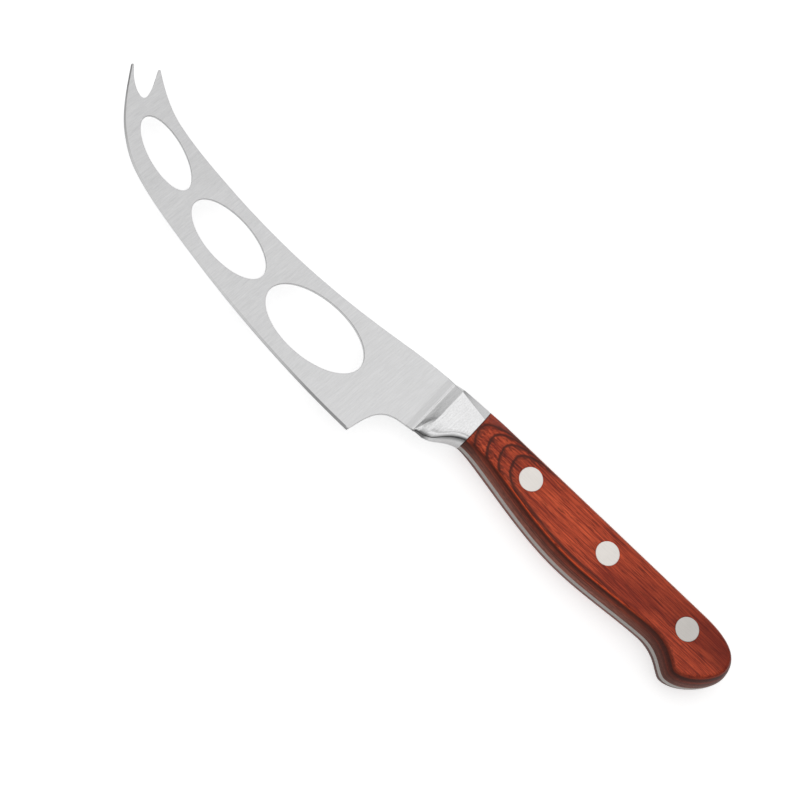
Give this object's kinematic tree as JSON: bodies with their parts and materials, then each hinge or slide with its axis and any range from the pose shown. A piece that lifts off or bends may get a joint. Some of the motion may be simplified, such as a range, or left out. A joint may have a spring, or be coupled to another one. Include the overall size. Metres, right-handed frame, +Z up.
{
  "type": "cheese knife",
  "caption": "Forged cheese knife with a forked tip, oval holes through the blade, a ground bolster and a riveted red-brown laminated-wood handle.",
  "frame": {"origin": "middle of the knife's outline, on the plane of the far scale's flat face that the knife lies on", "axes": "+X along the knife to the butt, +Y across it to the spine, +Z up, out of the side with the near scale"},
  "size_m": [0.2434, 0.0406, 0.015],
  "materials": {
    "blade_steel": "satin",
    "handle_wood": "satin",
    "rivet_steel": "satin"
  },
  "bodies": {
    "root": {"blade": "blade_steel", "near_scale": "handle_wood", "far_scale": "handle_wood", "front_rivet_sleeve": "rivet_steel", "middle_rivet_sleeve": "rivet_steel", "rear_rivet_sleeve": "rivet_steel", "front_rivet_post": "rivet_steel", "middle_rivet_post": "rivet_steel", "rear_rivet_post": "rivet_steel"}
  },
  "joints": []
}
